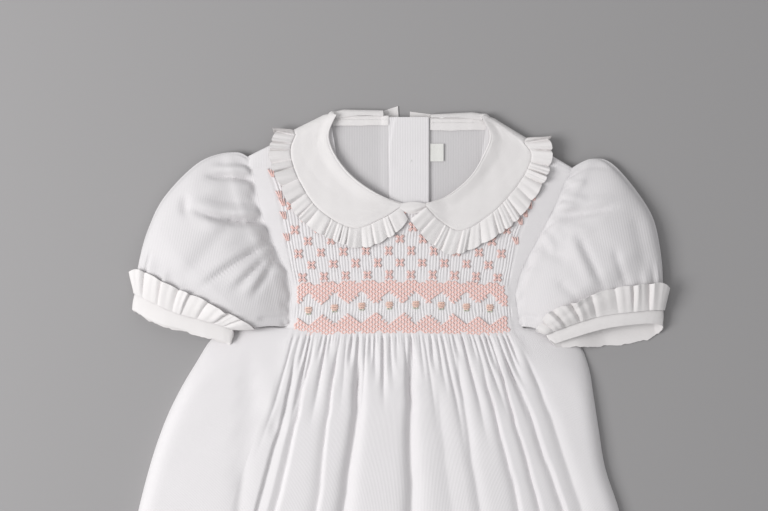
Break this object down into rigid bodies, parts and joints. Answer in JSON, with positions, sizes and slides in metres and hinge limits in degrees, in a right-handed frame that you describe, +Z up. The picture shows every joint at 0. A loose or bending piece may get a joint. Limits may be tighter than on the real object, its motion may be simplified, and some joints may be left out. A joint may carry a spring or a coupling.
{
  "type": "baby romper",
  "caption": "Baby romper laid flat on its back: smocked chest, round frilled collar, short puff sleeves with frilled cuffs, gathered body and leg bands",
  "frame": {"origin": "on the flat underside of the back panel, at the level of the underarms and of the lower edge of the smocking, on the centre line of the front", "axes": "+X to the viewer's right, towards the wearer's left arm; +Y towards the neck; +Z up from the surface that it lies on, out of the front"},
  "size_m": [0.4549, 0.4698, 0.0277],
  "materials": {
    "ribbed_cotton": "white cotton with a fine raised cord along its length, soft and matte",
    "plain_cotton": "smooth white cotton poplin, matte",
    "tab_satin": "white woven tape, slight sheen",
    "button_resin": "white pearly resin"
  },
  "bodies": {
    "root": {"front": "ribbed_cotton", "back_left_half": "ribbed_cotton", "back_right_half": "ribbed_cotton", "lap_facing": "ribbed_cotton", "neck_binding_left": "plain_cotton", "neck_binding_right": "plain_cotton", "collar_left": "plain_cotton", "collar_right": "plain_cotton", "collar_frill_left": "plain_cotton", "collar_frill_right": "plain_cotton", "sleeve_left": "ribbed_cotton", "sleeve_right": "ribbed_cotton", "cuff_band_left": "plain_cotton", "cuff_band_right": "plain_cotton", "cuff_frill_left": "plain_cotton", "cuff_frill_right": "plain_cotton", "leg_band_left": "plain_cotton", "leg_band_right": "plain_cotton", "size_tab": "tab_satin", "button_1": "button_resin", "button_2": "button_resin", "button_3": "button_resin"}
  },
  "joints": []
}
